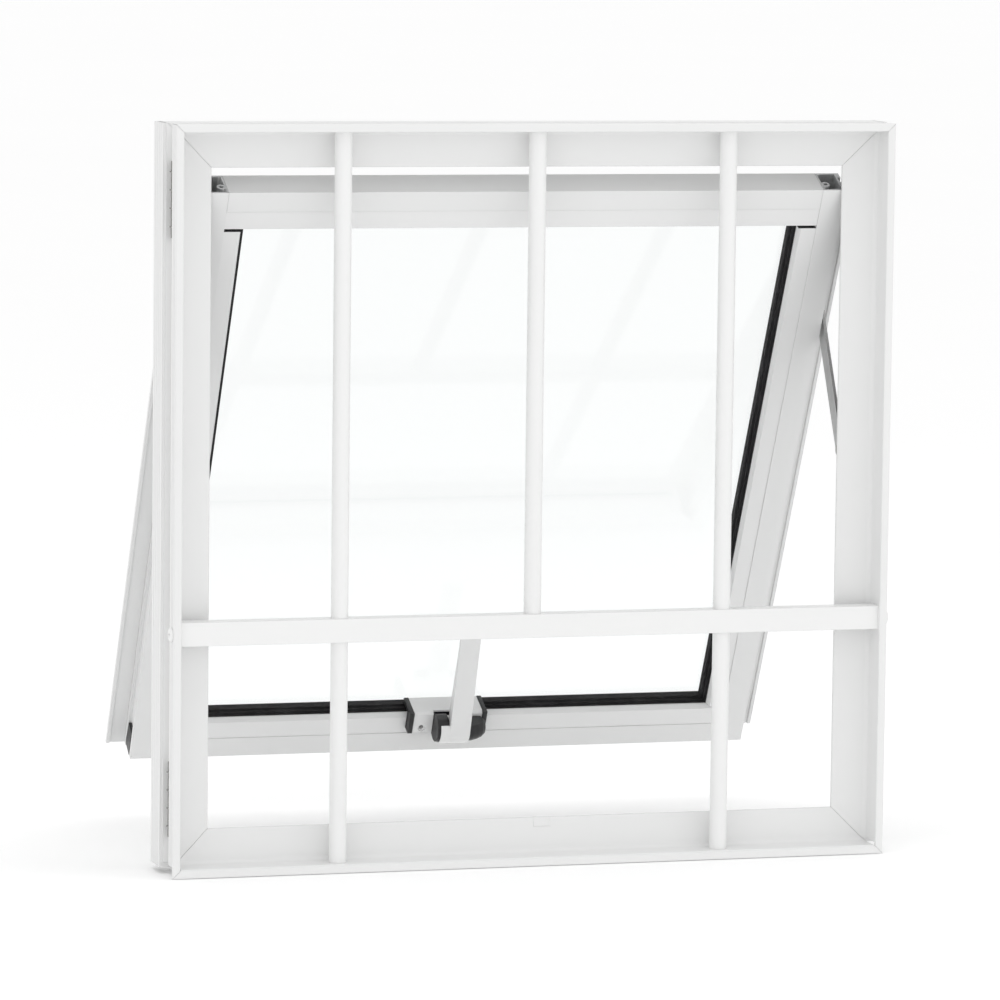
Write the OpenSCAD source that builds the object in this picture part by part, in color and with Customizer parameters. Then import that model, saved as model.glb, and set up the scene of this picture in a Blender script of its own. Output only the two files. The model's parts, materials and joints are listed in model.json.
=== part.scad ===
// Projecting window: fixed frame with a bar grille, glazed sash on two side stays, lever latch.
// Origin: middle of the sill's seat. +X right, +Y outdoors, +Z up. All lengths in mm.

/* [Frame] */
// Outside width of the frame
frame_width = 600; // [450:10:1200]
// Outside height of the frame
frame_height = 600; // [480:10:900]
// Depth of the stop band behind the front lip
stop_depth = 29.6; // [24:0.2:60]
// Width of the rounded front lip
lip_width = 6.5; // [4:0.5:8]
// Inset of the stop band's inner edge from the outside of the frame
band_inset = 35.5; // [33:0.5:50]
// Width of the wall anchors
anchor_width = 12; // [8:0.5:15]
// Length of each wall anchor
anchor_length = 61; // [40:1:120]

/* [Grille] */
// Diameter of the round bars
bar_diameter = 14; // [8:0.5:18]
// Spacing between the round bars
bar_spacing = 161; // [90:1:200]
// Height of the middle of the flat crossbar above the lip's lower edge
crossbar_level = 195.5; // [185:0.5:320]
// Height of the flat crossbar's face
crossbar_face = 19; // [14:0.5:30]

/* [Sash] */
// Angle between the sash and the frame as shown
open_angle = 27; // [2:1:55]
// Depth of the sash section
sash_depth = 27.3; // [22:0.1:36]
// Width of the plain band of the sash rails
rail_band = 18; // [14:0.5:24]
// Width of the plain band of the sash stiles
stile_band = 20.7; // [17:0.1:24]
// Width of the level glazing beads
bead_width = 17.7; // [14:0.1:24]
// Thickness of the glass
glass_thickness = 4; // [3:0.5:6]

/* [Stays] */
// Length of each stay bar between its pivots
stay_length = 120; // [80:1:160]
// Width of the stay bars
stay_bar_width = 14; // [11:0.5:16]

/* [Lever latch] */
// Length of the lever above its pivot
lever_length = 104; // [70:1:110]
// Width of the lever's strap
lever_width = 17.7; // [12:0.1:21.5]
// Width of the latch bracket
bracket_width = 60; // [52:1:90]

/* [Hidden] */
eps = 0.01;
round_fn = 48;
small_fn = 32;
wall = 1.6;
touch = 0.05;
pivot_play = 0.06;

frame_depth = stop_depth + sash_depth + 5.9;
half_width = frame_width / 2;
seat_height = 5;
foot_height = 9.3;
lip_depth = 2.6;
stop_back = stop_depth + 1.3;
body_step = stop_depth + 2.4;
seat_mid_depth = (body_step + frame_depth) / 2;
fillet_radius = 5;
band_root = stop_depth - 4.2;
floor_end = band_root - fillet_radius;
side_inset = 12;
head_inset = 19;
sill_inset = 24;
side_swell = 3.3;
channel_front = stop_depth * 0.49;
channel_back = stop_depth + 0.8;
channel_depth = 4;
channel_lip = 1;
sill_floor = 7.2;
mitre_reach = 60;
groove_depth = 0.4;

bar_radius = bar_diameter / 2;
bar_line = floor_end - 0.8 - bar_radius;
crossbar_front = bar_line - bar_radius - 1.6;
crossbar_back = floor_end - 0.1;
crossbar_wall = 1.3;
crossbar_low = crossbar_level - crossbar_face / 2;
crossbar_top = crossbar_level + crossbar_face / 2;
crossbar_half = half_width - lip_width;
crossbar_plug = 25;
grille_screw_line = crossbar_front + 3.6;
grille_screw_radius = 2.4;
grille_head_radius = 5.6;

sash_side_gap = 29.75;
stay_gap = sash_side_gap - side_inset;
sash_half = half_width - sash_side_gap;
closed_face = stop_depth + 3.9;
closed_top = frame_height - head_inset - 3.9;
closed_bottom = sill_inset + 4.1;
sash_height = closed_top - closed_bottom;
pivot_depth = sash_depth * 0.458;
pivot_drop = sqrt(pow(pivot_depth + 2, 2) - pow(pivot_depth, 2));
track_line = closed_face + pivot_depth;
arm_foot_height = closed_top - pivot_drop - 2 * stay_length;
shoe_height = arm_foot_height + 2 * stay_length * cos(open_angle);
sash_top_depth = track_line - pivot_depth * cos(open_angle) - pivot_drop * sin(open_angle);
sash_top_height = shoe_height - pivot_depth * sin(open_angle) + pivot_drop * cos(open_angle);

flange_sheet = 2;
flange_face = sash_depth - flange_sheet;
flange_width = stay_gap - 1.95;
flange_notch = 17;
glass_face = sash_depth - 8.9;
glass_back = glass_face + glass_thickness;
rebate_front = sash_depth - 3.4;
rebate_back = sash_depth - 1;
frame_cover = rail_band + bead_width;
glass_bite = 12.5;
gasket_end = frame_cover + 4.1;
gasket_foot = 5;
bead_step = 0.6;
bead_bevel = 4.6;
bead_lean = 1.9;
bead_ledge = bead_step + bead_bevel;
bead_sheet = 1.4;
bead_back = glass_face - 2;
bead_joint = 0.8;
hardware_groove = stay_bar_width + 1;
port_radius = 3.6;
rim_height = 1.3;
rim_width = 2.8;
plug_length = 24;
seal_rib_back = closed_face + flange_face - rim_height - 0.3;
seal_rib_inset = side_inset + 4.5;
strip_front = track_line - 6;

link_sheet = 2.5;
arm_near = 1.6;
arm_far = 4.1;
rivet_end = 5.6;
track_face = 6;
track_half = pivot_depth - 2.5;
track_wall = 1.5;
slot_half = 5;
stud_radius = 3.5;
collar_radius = 5.4;
rivet_radius = 5;
track_top = closed_top + 2;
track_bottom = arm_foot_height - 26;
foot_half = 11;
shoe_rise = 8;
shoe_fall = 26;
small_screw = 1.9;
small_head = 3.2;
track_screw_heights = [
  track_bottom + 8,
  (arm_foot_height + closed_top) / 2,
  track_top - 32
];
link_screw_drops = [0.18 * stay_length, 0.5 * stay_length, 0.82 * stay_length];

hub_out = 14;
hub_radius = 11.8;
hub_level = frame_cover - 3.1;
latch_offset = 6.5;
lever_sheet = 3;
lever_outer = hub_radius + 1.5;
lever_inner = lever_outer - lever_sheet;
lever_ear = 7.75;
lever_turn_gap = 0.35;
lever_left = latch_offset - lever_width / 2;
lever_right = latch_offset + lever_width / 2;
hub_left = lever_left - lever_ear - 2.5;
hub_right = lever_right + 16.35;
hub_low = 7.8;
hub_high = 7.6;
bay_left = hub_left - 0.3;
bay_right = lever_right + 3;
bracket_half = bracket_width / 2;
bracket_out = 7.5;
bracket_sheet = 1.8;
bracket_low = hub_level - 8.5;
bracket_top = hub_level + 10.9;
bracket_back = glass_face - 3;
bracket_screw = [-bracket_half + 8, hub_level - 4.2];
cap_sheet = 4;
keeper_sheet = 0.3;
lever_lean = lever_length * 0.13;
lever_cheek = 2;
pin_radius = 3;

white = [0.93, 0.93, 0.92];
black = [0.07, 0.07, 0.07];
steel = [0.62, 0.63, 0.64];
zinc = [0.40, 0.40, 0.39];
glass_tint = [0.85, 0.93, 0.93, 0.35];

// Frame parts are drawn from the lip's lower front edge, then moved to the seat.
module placed() {
  translate([0, -seat_mid_depth, -seat_height])
    children();
}

// Sash parts are drawn from the room-side top edge: y goes outdoors, z up the sash.
module on_sash() {
  placed()
    translate([0, sash_top_depth, sash_top_height])
      rotate([open_angle, 0, 0])
        children();
}

// Latch parts use the same directions, with z counted up from the sash's lower edge.
module on_latch() {
  on_sash()
    translate([0, 0, -sash_height])
      children();
}

module both_sides() {
  children();
  mirror([1, 0, 0])
    children();
}

// A profile drawn as (inset, depth), run along X with its inset pointing up.
module run_profile(length) {
  rotate([0, -90, 0])
    linear_extrude(length, center = true)
      children();
}

// A profile drawn as (depth, height), run along X between two places.
module run_along(from, to) {
  translate([from, 0, 0])
    rotate([90, 0, 90])
      linear_extrude(to - from)
        children();
}

module rod_x(from, to, radius, sides = round_fn) {
  translate([from, 0, 0])
    rotate([0, 90, 0])
      cylinder(h = to - from, r = radius, $fn = sides);
}

module mitre_wedge(span) {
  rotate([90, 0, 0])
    translate([0, 0, -2 * frame_depth])
      linear_extrude(4 * frame_depth)
        polygon([
          [-span / 2 - 20, -20],
          [span / 2 + 20, -20],
          [span / 2 - mitre_reach, mitre_reach],
          [-span / 2 + mitre_reach, mitre_reach]
        ]);
}

function arc_points(centre, radius, start, stop, steps) = [
  for (i = [0 : steps])
    let (a = start + (stop - start) * i / steps)
      [centre[0] + radius * cos(a), centre[1] + radius * sin(a)]
];

// Rounded lip, floor, fillet and sloping stop band.
lip_points = [
  [0, 0.9],
  [0.3, 0.25],
  [0.9, 0],
  [lip_width - 0.9, 0],
  [lip_width - 0.3, 0.25],
  [lip_width, 0.9]
];

function stop_points(floor_inset) = concat(
  arc_points([floor_inset + fillet_radius, floor_end], fillet_radius, 180, 90, 6),
  [
    [band_inset - 0.6, stop_depth - 0.6],
    [band_inset, stop_depth],
    [band_inset, stop_back]
  ]
);

module upper_profile(back_inset, swell) {
  ledge = min(channel_lip, swell);
  difference() {
    polygon(concat(lip_points, stop_points(lip_width), [
      [back_inset, stop_back],
      [back_inset, frame_depth],
      [-swell, frame_depth],
      [-swell, body_step],
      [-ledge, body_step],
      [-ledge, channel_back],
      [channel_depth, channel_back],
      [channel_depth, channel_front],
      [0, channel_front]
    ]));
    translate([wall - swell, body_step + wall])
      square([back_inset + swell - 2 * wall, frame_depth - body_step - 2 * wall]);
    for (place = [0.3, 0.6])
      translate([-eps, channel_front * place])
        square([groove_depth, 0.7]);
    for (place = [0.2, 0.4, 0.6, 0.8])
      translate([-swell - eps, body_step + (frame_depth - body_step) * place])
        square([groove_depth, 0.9]);
  }
}

module sill_profile() {
  difference() {
    polygon(concat(
      lip_points,
      [[sill_floor, lip_depth - 1.3]],
      stop_points(sill_floor),
      [
        [sill_inset, stop_back],
        [sill_inset, frame_depth],
        [seat_height, frame_depth],
        [seat_height, lip_depth],
        [0.4, lip_depth],
        [0, lip_depth - 0.4]
      ]
    ));
    translate([seat_height + wall, body_step + wall])
      square([
        sill_inset - seat_height - 2 * wall,
        frame_depth - body_step - 2 * wall
      ]);
  }
}

module frame_head() {
  color(white)
    placed()
      translate([0, 0, frame_height])
        mirror([0, 0, 1])
          intersection() {
            run_profile(frame_width)
              upper_profile(head_inset, 0);
            mitre_wedge(frame_width);
          }
}

module frame_sill() {
  color(white)
    placed()
      intersection() {
        run_profile(frame_width)
          sill_profile();
        mitre_wedge(frame_width);
      }
}

// The jamb carries a rib for the flange seal, and its foot is cut back behind the lip.
module left_jamb() {
  difference() {
    translate([-half_width, 0, frame_height / 2])
      rotate([0, 90, 0])
        intersection() {
          run_profile(frame_height)
            upper_profile(side_inset, side_swell);
          mitre_wedge(frame_height);
        }
    translate([-half_width - 20, lip_depth, -20])
      cube([20 + foot_height + 1, body_step - lip_depth, 20 + foot_height]);
    translate([-half_width - 20, lip_depth, -20])
      cube([80, frame_depth, 20 + seat_height]);
    translate([-half_width - 20, -20, frame_height])
      cube([80, frame_depth + 40, 20]);
    translate([0, grille_screw_line, crossbar_level])
      rod_x(-half_width - 1, -half_width + 20, grille_screw_radius + touch, small_fn);
    for (height = track_screw_heights)
      translate([0, track_line, height])
        rod_x(-half_width + 3, -half_width + side_inset + 1, small_screw + touch, small_fn);
  }
}

module frame_jamb_left() {
  color(white)
    placed()
      left_jamb();
}

module frame_jamb_right() {
  color(white)
    placed()
      mirror([1, 0, 0])
        left_jamb();
}

// Angle cleats inside the hollow back part hold the mitred corners.
module corner_cleat(low, high, leg) {
  depth = frame_depth - body_step - 2 * wall - 0.2;
  start = wall + 0.1;
  translate([-half_width + start, body_step + wall + 0.1, low])
    cube([side_inset - wall - 0.1 - start, depth, leg]);
  translate([-half_width + low, body_step + wall + 0.1, low])
    cube([leg, depth, high - low]);
}

module frame_corner_cleats() {
  clear = 0.1;
  color(zinc)
    placed()
      both_sides() {
        corner_cleat(seat_height + wall + clear, side_inset - wall - clear, 38);
        translate([0, 0, frame_height])
          mirror([0, 0, 1])
            corner_cleat(wall + clear, side_inset - wall - clear, 43);
      }
}

// Ribs that the sash's cover flanges close against, one along each jamb.
module jamb_seal_ribs() {
  rib_front = track_line + track_half + 0.1;
  rib_low = sill_inset + touch;
  color(white)
    placed()
      both_sides()
        translate([half_width - seal_rib_inset, rib_front, rib_low])
          cube([
            seal_rib_inset - side_inset - touch,
            seal_rib_back - rib_front,
            frame_height - head_inset - touch - rib_low
          ]);
}

module frame_seal_strips() {
  reach = 2 * (half_width - sash_side_gap - 1);
  color(black)
    placed() {
      translate([-reach / 2, strip_front, frame_height - head_inset - 3.4])
        cube([reach, 4, 3.4]);
      translate([-reach / 2, strip_front, sill_inset])
        cube([reach, 4, 3.2]);
    }
}

// Punched masonry anchors lie in the channel on each side.
module wall_anchor() {
  sheet = 1.5;
  lug_pitch = anchor_length / 4.2;
  middle = (channel_front + channel_back) / 2;
  translate([-half_width + channel_depth - sheet, middle - anchor_width / 2, -anchor_length / 2]) {
    difference() {
      cube([sheet, anchor_width, anchor_length]);
      for (i = [-1.5 : 1.5])
        translate([-eps, anchor_width * 0.25, anchor_length / 2 + i * lug_pitch + 1.4])
          cube([sheet + 2 * eps, anchor_width * 0.5, 4]);
    }
    for (i = [-1.5 : 1.5])
      translate([-1.8, anchor_width * 0.2, anchor_length / 2 + i * lug_pitch])
        cube([1.8 + eps, anchor_width * 0.6, 1.2]);
  }
}

module wall_anchors() {
  color(zinc)
    placed()
      both_sides()
        for (height = [60.5, frame_height - 60.5])
          translate([0, 0, height])
            wall_anchor();
}

module round_bar(place, low, high) {
  color(white)
    placed()
      translate([place, bar_line, low])
        difference() {
          cylinder(h = high - low, r = bar_radius, $fn = round_fn);
          translate([0, 0, 1.5])
            cylinder(h = high - low - 3, r = bar_radius - 1.2, $fn = round_fn);
        }
}

module grille_bar_left() {
  round_bar(-bar_spacing, sill_floor, frame_height - lip_width);
}

// The middle bar stops on the crossbar and leaves room for a hand.
module grille_bar_middle() {
  round_bar(0, crossbar_top, frame_height - lip_width);
}

module grille_bar_right() {
  round_bar(bar_spacing, sill_floor, frame_height - lip_width);
}

module grille_crossbar() {
  hollow_half = crossbar_half - crossbar_plug;
  color(white)
    placed()
      difference() {
        translate([-crossbar_half, crossbar_front, crossbar_low])
          cube([2 * crossbar_half, crossbar_back - crossbar_front, crossbar_face]);
        translate([-hollow_half, crossbar_front + crossbar_wall, crossbar_low + crossbar_wall])
          cube([
            2 * hollow_half,
            crossbar_back - crossbar_front - 2 * crossbar_wall,
            crossbar_face - 2 * crossbar_wall
          ]);
        for (place = [-bar_spacing, bar_spacing])
          translate([place, bar_line, crossbar_low - 1])
            cylinder(h = crossbar_face + 2, r = bar_radius + touch, $fn = round_fn);
        both_sides()
          translate([0, grille_screw_line, crossbar_level])
            rod_x(
              -crossbar_half - 1,
              -crossbar_half + crossbar_plug + 1,
              grille_screw_radius + touch,
              small_fn
            );
      }
}

module crossbar_screws() {
  color(white)
    placed()
      both_sides()
        translate([0, grille_screw_line, crossbar_level])
          difference() {
            union() {
              rod_x(-half_width - 2.2, -half_width, grille_head_radius);
              rod_x(-half_width - 1, -crossbar_half + 18, grille_screw_radius, small_fn);
            }
            rod_x(-half_width - 3, -half_width - 1, 1.9, 6);
          }
}

function band_face(inset) = band_root
  + (inset - sill_floor - fillet_radius)
  * (stop_depth - 0.6 - band_root)
  / (band_inset - 0.6 - sill_floor - fillet_radius);

module latch_keeper() {
  low = band_inset - 7.5;
  color(white)
    placed()
      translate([latch_offset + 8.3, 0, 0])
        run_profile(14)
          polygon([
            [low, band_face(low)],
            [band_inset - 0.6, stop_depth - 0.6],
            [band_inset, stop_depth],
            [band_inset, stop_back],
            [band_inset + keeper_sheet, stop_back],
            [band_inset + keeper_sheet, stop_depth],
            [band_inset - 0.6, stop_depth - 0.6 - keeper_sheet],
            [low, band_face(low) - keeper_sheet]
          ]);
}

module track_solid() {
  outer = half_width - side_inset;
  face = sash_half + track_face;
  length = track_top - track_bottom;
  difference() {
    translate([face, track_line - track_half, track_bottom])
      cube([outer - face, 2 * track_half, length]);
    translate([face + track_wall, track_line - track_half + track_wall, track_bottom - 1])
      cube([outer - face - 2 * track_wall, 2 * (track_half - track_wall), length + 2]);
    translate([face - 1, track_line - slot_half, track_bottom - 1])
      cube([track_wall + 2, 2 * slot_half, length + 2]);
    for (height = track_screw_heights)
      translate([0, track_line, height]) {
        rod_x(outer - track_wall - 1, outer + 1, small_screw + touch, small_fn);
        rod_x(outer - track_wall - 1, outer - track_wall + 1, small_head + touch, small_fn);
      }
  }
}

module stay_track_left() {
  color(steel)
    placed()
      mirror([1, 0, 0])
        track_solid();
}

module stay_track_right() {
  color(steel)
    placed()
      track_solid();
}

module track_screws() {
  outer = half_width - side_inset;
  color(zinc)
    placed()
      both_sides()
        for (height = track_screw_heights)
          translate([0, track_line, height]) {
            rod_x(outer - track_wall, outer - track_wall + 0.95, small_head, small_fn);
            rod_x(outer - track_wall, outer + 7, small_screw, small_fn);
          }
}

// Fixed block in the track with the stud that the stay arm turns on.
module foot_solid() {
  face = sash_half + track_face;
  translate([0, track_line, arm_foot_height]) {
    translate([face + track_wall, -track_half + track_wall + touch, -foot_half])
      cube([
        stay_gap - track_face - 2 * track_wall,
        2 * (track_half - track_wall - touch),
        2 * foot_half
      ]);
    translate([face - eps, -slot_half + touch, -foot_half])
      cube([track_wall + 2 * eps, 2 * (slot_half - touch), 2 * foot_half]);
    rod_x(sash_half + arm_far + touch, face + eps, collar_radius);
    rod_x(sash_half + arm_near - touch - eps, sash_half + arm_far + 0.2, stud_radius);
    rod_x(sash_half + 0.45, sash_half + arm_near - touch, rivet_radius);
  }
}

module stay_foot_left() {
  color(zinc)
    placed()
      mirror([1, 0, 0])
        foot_solid();
}

module stay_foot_right() {
  color(zinc)
    placed()
      foot_solid();
}

// A flat bar with round ends between two pivot holes, both on its own z line.
module pivot_bar(near, far, length) {
  half = stay_bar_width / 2;
  difference() {
    union() {
      translate([near, -half, 0])
        cube([far - near, stay_bar_width, length]);
      rod_x(near, far, half);
      translate([0, 0, length])
        rod_x(near, far, half);
    }
    for (height = [0, length])
      translate([0, 0, height])
        rod_x(near - 1, far + 1, stud_radius + pivot_play);
  }
}

module arm_solid() {
  translate([0, track_line, arm_foot_height])
    rotate([-open_angle, 0, 0])
      pivot_bar(sash_half + arm_near, sash_half + arm_far, stay_length);
}

module stay_arm_left() {
  color(steel)
    placed()
      mirror([1, 0, 0])
        arm_solid();
}

module stay_arm_right() {
  color(steel)
    placed()
      arm_solid();
}

// Sliding shoe in the track, kept upright by it, with the stud for the sash link.
module shoe_solid() {
  face = sash_half + track_face;
  half = track_half - track_wall - 0.35;
  translate([0, track_line, shoe_height]) {
    translate([face + track_wall + 0.3, -half, -shoe_fall])
      cube([stay_gap - track_face - 2 * track_wall - 0.6, 2 * half, shoe_rise + shoe_fall]);
    rod_x(sash_half - link_sheet + 0.1, face + track_wall + 0.4, stud_radius);
    rod_x(sash_half + touch, face - 0.3, collar_radius);
  }
}

module stay_shoe_left() {
  color(black)
    placed()
      mirror([1, 0, 0])
        shoe_solid();
}

module stay_shoe_right() {
  color(black)
    placed()
      shoe_solid();
}

// Sash bar of the stay, let into the stile's groove, with the rivet for the arm.
module link_solid() {
  translate([0, pivot_depth, -pivot_drop - stay_length]) {
    difference() {
      pivot_bar(sash_half - link_sheet, sash_half, stay_length);
      for (drop = link_screw_drops)
        translate([0, 0, stay_length - drop])
          rod_x(sash_half - link_sheet - 1, sash_half + 1, small_screw + touch, small_fn);
    }
    rod_x(sash_half - link_sheet, sash_half, stud_radius + pivot_play + eps);
    rod_x(sash_half - eps, sash_half + arm_near - touch, collar_radius);
    rod_x(sash_half, sash_half + arm_far + touch + eps, stud_radius);
    rod_x(sash_half + arm_far + touch, sash_half + rivet_end, rivet_radius);
  }
}

module stay_link_left() {
  color(steel)
    on_sash()
      mirror([1, 0, 0])
        link_solid();
}

module stay_link_right() {
  color(steel)
    on_sash()
      link_solid();
}

module stay_link_screws() {
  color(zinc)
    on_sash()
      both_sides()
        for (drop = link_screw_drops)
          translate([0, pivot_depth, -pivot_drop - drop]) {
            rod_x(sash_half - link_sheet - 6, sash_half + 0.5, small_screw, small_fn);
            rod_x(sash_half, sash_half + 1.4, small_head, small_fn);
          }
}

// Stile section as (depth, inset from the sash's side).
module stile_profile() {
  inner_wall = stile_band - wall;
  difference() {
    square([sash_depth, stile_band]);
    translate([pivot_depth - hardware_groove / 2, -eps])
      square([hardware_groove, link_sheet + eps]);
    difference() {
      translate([wall, link_sheet + wall])
        square([flange_face - wall, inner_wall - link_sheet - wall]);
      translate([pivot_depth - 3, inner_wall - port_radius + 0.8])
        circle(port_radius, $fn = small_fn);
    }
    translate([pivot_depth - 3, inner_wall - port_radius + 0.8])
      circle(2, $fn = small_fn);
  }
}

module stile_solid() {
  difference() {
    union() {
      translate([sash_half, 0, -sash_height])
        linear_extrude(sash_height)
          rotate(90)
            stile_profile();
      translate([sash_half - frame_cover, rebate_front, -sash_height + rail_band])
        cube([
          frame_cover - stile_band + eps,
          rebate_back - rebate_front,
          sash_height - 2 * rail_band
        ]);
    }
    for (drop = link_screw_drops)
      translate([0, pivot_depth, -pivot_drop - drop])
        rod_x(sash_half - link_sheet - 4, sash_half + 1, small_screw + touch, small_fn);
  }
}

// Cover flange on a stile's outdoor side, with a raised rim along its edge.
module flange_solid() {
  flange_end = sash_half + flange_width;
  translate([sash_half + touch, flange_face, -sash_height])
    cube([flange_width - touch, flange_sheet, sash_height - flange_notch]);
  translate([flange_end - rim_width, flange_face - rim_height, -sash_height])
    cube([rim_width, rim_height + eps, sash_height - flange_notch]);
}

module sash_flange_right() {
  color(white)
    on_sash()
      flange_solid();
}

module sash_flange_left() {
  color(white)
    on_sash()
      mirror([1, 0, 0])
        flange_solid();
}

module sash_stile_left() {
  color(white)
    on_sash()
      mirror([1, 0, 0])
        stile_solid();
}

module sash_stile_right() {
  color(white)
    on_sash()
      stile_solid();
}

module rail_solid() {
  half = sash_half - stile_band;
  run_along(-half, half)
    difference() {
      translate([0, -rail_band])
        square([sash_depth, rail_band]);
      translate([wall, wall - rail_band])
        square([flange_face - wall, rail_band - 2 * wall]);
    }
  translate([-sash_half + frame_cover, rebate_front, -frame_cover])
    cube([2 * (sash_half - frame_cover), rebate_back - rebate_front, bead_width + eps]);
}

module sash_top_rail() {
  color(white)
    on_sash()
      rail_solid();
}

module sash_bottom_rail() {
  color(white)
    on_sash()
      translate([0, 0, -sash_height])
        mirror([0, 0, 1])
          rail_solid();
}

// Blocks inside the rail ends take the screws that hold the stiles.
module sash_corner_blocks() {
  color(zinc)
    on_sash()
      both_sides()
        for (low = [-rail_band, -sash_height])
          translate([sash_half - stile_band - 30, wall + touch, low + wall + touch])
            cube([30 - touch, flange_face - wall - 2 * touch, rail_band - 2 * wall - 2 * touch]);
}

module stile_end_plugs() {
  half = hardware_groove / 2 - touch;
  color(black)
    on_sash()
      both_sides()
        translate([sash_half - link_sheet, pivot_depth, -sash_height + 0.5])
          rotate([90, 0, 90])
            linear_extrude(link_sheet + 0.3)
              polygon([
                [-half, 0],
                [half - 1, 2.5],
                [half, 5],
                [half - 2, plug_length],
                [-half + 1, plug_length - 2.5]
              ]);
}

// Snap-in glazing bead as (depth, inset), open at the back.
module bead_profile(width) {
  difference() {
    polygon([
      [bead_step, 0],
      [bead_step, width - bead_lean],
      [bead_ledge, width],
      [bead_back, width],
      [bead_back, 0]
    ]);
    translate([bead_ledge + bead_sheet * 0.4, bead_sheet])
      square([bead_back, width - 2 * bead_sheet]);
  }
}

module level_bead() {
  half = sash_half - stile_band - touch;
  run_along(-half, half)
    mirror([0, 1])
      translate([0, rail_band + touch])
        bead_profile(bead_width);
}

module upright_bead() {
  low = -sash_height + frame_cover + touch + 0.2;
  high = -frame_cover - touch - bead_joint;
  translate([sash_half - stile_band - touch, 0, low])
    linear_extrude(high - low)
      rotate(90)
        bead_profile(frame_cover - stile_band);
}

module bead_top() {
  color(white)
    on_sash()
      level_bead();
}

module bead_bottom() {
  color(white)
    on_latch()
      difference() {
        mirror([0, 0, 1])
          level_bead();
        translate([bracket_screw[0], 0, bracket_screw[1]])
          rotate([-90, 0, 0])
            cylinder(h = 6, r = small_screw + touch, $fn = small_fn);
      }
}

module bead_left() {
  color(white)
    on_sash()
      mirror([1, 0, 0])
        upright_bead();
}

module bead_right() {
  color(white)
    on_sash()
      upright_bead();
}

// A flat ring round the sash, between two insets and two depths.
module sash_ring(outer, inner, front, back) {
  difference() {
    translate([-sash_half + outer, front, -sash_height + outer])
      cube([2 * (sash_half - outer), back - front, sash_height - 2 * outer]);
    translate([-sash_half + inner, front - 1, -sash_height + inner])
      cube([2 * (sash_half - inner), back - front + 2, sash_height - 2 * inner]);
  }
}

// Stepped wedge gasket between the beads and the glass, with a joint over each side bead.
module inner_gasket() {
  edge = frame_cover + 2 * touch;
  first = bead_ledge + 1.3;
  second = first + 2.5;
  third = second + 3;
  color(black)
    on_sash() {
      sash_ring(edge, frame_cover + 0.6, first, second + eps);
      sash_ring(edge, frame_cover + 2.3, second, third + eps);
      sash_ring(edge, gasket_end, third, glass_face);
      sash_ring(frame_cover - gasket_foot, edge + eps, bead_back, glass_face);
      both_sides()
        translate([sash_half - edge - eps, bead_step + 0.3, -edge - bead_joint + touch])
          cube([
            frame_cover - stile_band - 0.2,
            bead_back - bead_step - 0.3 - touch,
            bead_joint - 2 * touch
          ]);
    }
}

module outer_gasket() {
  color(black)
    on_sash()
      sash_ring(frame_cover - 8, frame_cover + 1.2, glass_back, rebate_front);
}

module glass_pane() {
  edge = frame_cover - glass_bite;
  color(glass_tint)
    on_sash()
      translate([-sash_half + edge, glass_face, -sash_height + edge])
        cube([2 * (sash_half - edge), glass_thickness, sash_height - 2 * edge]);
}

module setting_blocks() {
  edge = frame_cover - glass_bite;
  color(black)
    on_sash()
      both_sides()
        translate([sash_half * 0.5, glass_face - 0.5, -sash_height + rail_band])
          cube([50, glass_thickness + 1, edge - rail_band]);
}

// Bent plate over the bottom bead, with a bay for the lever's hub.
module latch_bracket() {
  color(white)
    on_latch()
      difference() {
        union() {
          run_along(-bracket_half, bracket_half)
            polygon([
              [-bracket_out - 1, bracket_low],
              [-bracket_out, bracket_top - 2],
              [-bracket_out + 2, bracket_top],
              [bracket_back, bracket_top],
              [bracket_back, bracket_top - bracket_sheet],
              [-bracket_out + bracket_sheet + 1.4, bracket_top - bracket_sheet],
              [-bracket_out + bracket_sheet, bracket_top - bracket_sheet - 1.4],
              [-bracket_out + bracket_sheet - 1, bracket_low]
            ]);
          translate([bracket_screw[0], bead_step - touch, bracket_screw[1]])
            rotate([90, 0, 0])
              cylinder(h = bracket_out, r = small_head + 0.4, $fn = small_fn);
        }
        translate([bay_left, -30, bracket_low - 10])
          cube([bay_right - bay_left, 30 - hub_out + lever_outer - 3, 40]);
        translate([bracket_screw[0], 1, bracket_screw[1]])
          rotate([90, 0, 0]) {
            cylinder(h = 20, r = small_screw + touch, $fn = small_fn);
            translate([0, 0, 1 + bracket_out - 0.9])
              cylinder(h = 20, r = small_head + touch, $fn = small_fn);
          }
      }
}

module latch_end_caps() {
  color(black)
    on_latch()
      both_sides()
        run_along(bracket_half, bracket_half + cap_sheet)
          polygon([
            [-bracket_out - 1.4, bracket_low - 0.4],
            [-bracket_out - 0.4, bracket_top - 2],
            [-bracket_out + 2, bracket_top + 0.4],
            [bracket_back, bracket_top + 0.4],
            [bracket_back, gasket_end + touch],
            [bead_step - touch, gasket_end + touch],
            [bead_step - touch, bracket_low - 0.4]
          ]);
}

module latch_screw() {
  color(black)
    on_latch()
      translate([bracket_screw[0], 0, bracket_screw[1]])
        rotate([90, 0, 0])
          difference() {
            union() {
              translate([0, 0, -bead_ledge])
                cylinder(
                  h = bracket_out + bead_ledge - 0.5,
                  r = small_screw,
                  $fn = small_fn
                );
              translate([0, 0, bracket_out - 0.85])
                cylinder(h = 0.9, r = small_head, $fn = small_fn);
            }
            translate([0, 0, bracket_out - 0.5])
              cylinder(h = 1, r = 1.6, $fn = 6);
          }
}

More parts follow.
